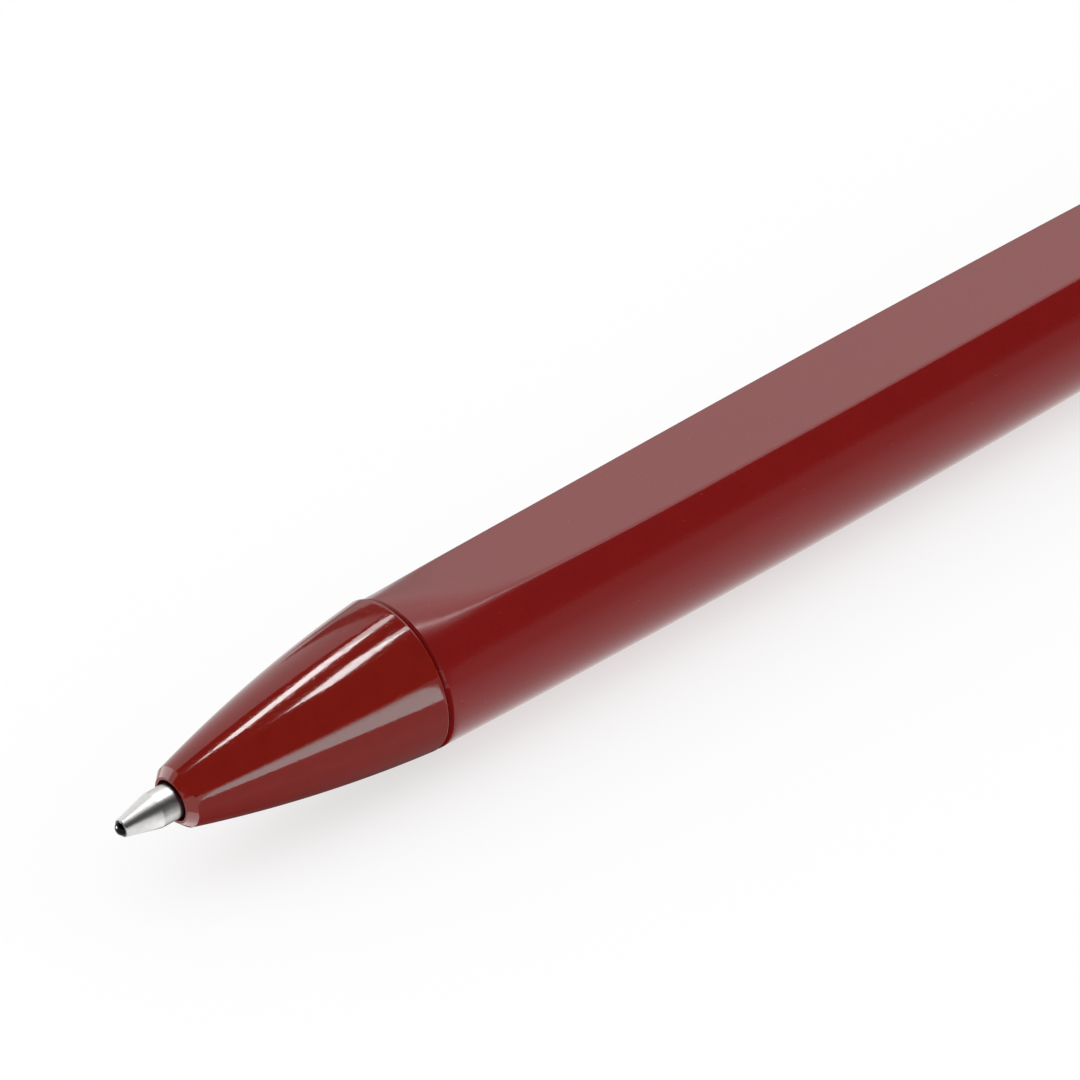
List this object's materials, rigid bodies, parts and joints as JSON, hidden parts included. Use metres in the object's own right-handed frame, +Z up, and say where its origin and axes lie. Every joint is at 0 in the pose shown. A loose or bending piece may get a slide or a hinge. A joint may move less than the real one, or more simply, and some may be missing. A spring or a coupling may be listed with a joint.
{
  "type": "retractable ballpoint pen",
  "caption": "Slim retractable ballpoint pen with a glossy nose cone, a matte barrel with one long flat, a clip and a push button that slides the refill out and in.",
  "frame": {"origin": "middle of the pen's outline, on the surface that its underside lies on", "axes": "+X along the pen from the tip to the push button, +Z up, out of the barrel's flat"},
  "size_m": [0.1346, 0.0112, 0.0121],
  "materials": {
    "soft_touch_red": "matte soft-touch lacquer over moulded plastic",
    "gloss_red": "glossy moulded plastic with fine scratches",
    "nickel_silver": "turned nickel silver with lathe marks",
    "ball_metal": "polished hard metal",
    "spring_steel": "drawn wire",
    "refill_plastic": "natural white moulded plastic",
    "refill_tube": "milky extruded tube",
    "ink": "dark paste",
    "mechanism_plastic": "natural white moulded plastic"
  },
  "bodies": {
    "pen_body": {"barrel": "soft_touch_red", "nose_cone": "gloss_red", "rear_cap": "gloss_red", "clip": "gloss_red", "guide_sleeve": "mechanism_plastic", "return_spring": "spring_steel"},
    "button": {"push_button": "gloss_red", "thruster": "mechanism_plastic", "ratchet_cam": "mechanism_plastic"},
    "refill": {"point_tip": "nickel_silver", "tip_holder": "refill_plastic", "refill_tube": "refill_tube", "ink_column": "ink", "refill_end_plug": "refill_plastic"},
    "ball": {"writing_ball": "ball_metal"}
  },
  "joints": [
    {"name": "button_press", "type": "slide", "parent": "pen_body", "child": "button", "axis": [-1, 0, 0], "range_m": [-0.0065, 0.0013]},
    {"name": "refill_slide", "type": "slide", "parent": "pen_body", "child": "refill", "axis": [-1, 0, 0], "range_m": [-0.0065, 0.0013], "deforming": ["return_spring"]},
    {"name": "ball_roll", "type": "hinge", "parent": "refill", "child": "ball", "pos_m": [-0.06678, 0, 0.00553], "axis": [0, 1, 0], "continuous": true}
  ],
  "couplings": [
    {"joint": "refill_slide", "follows": "button_press", "ratio": 1}
  ]
}
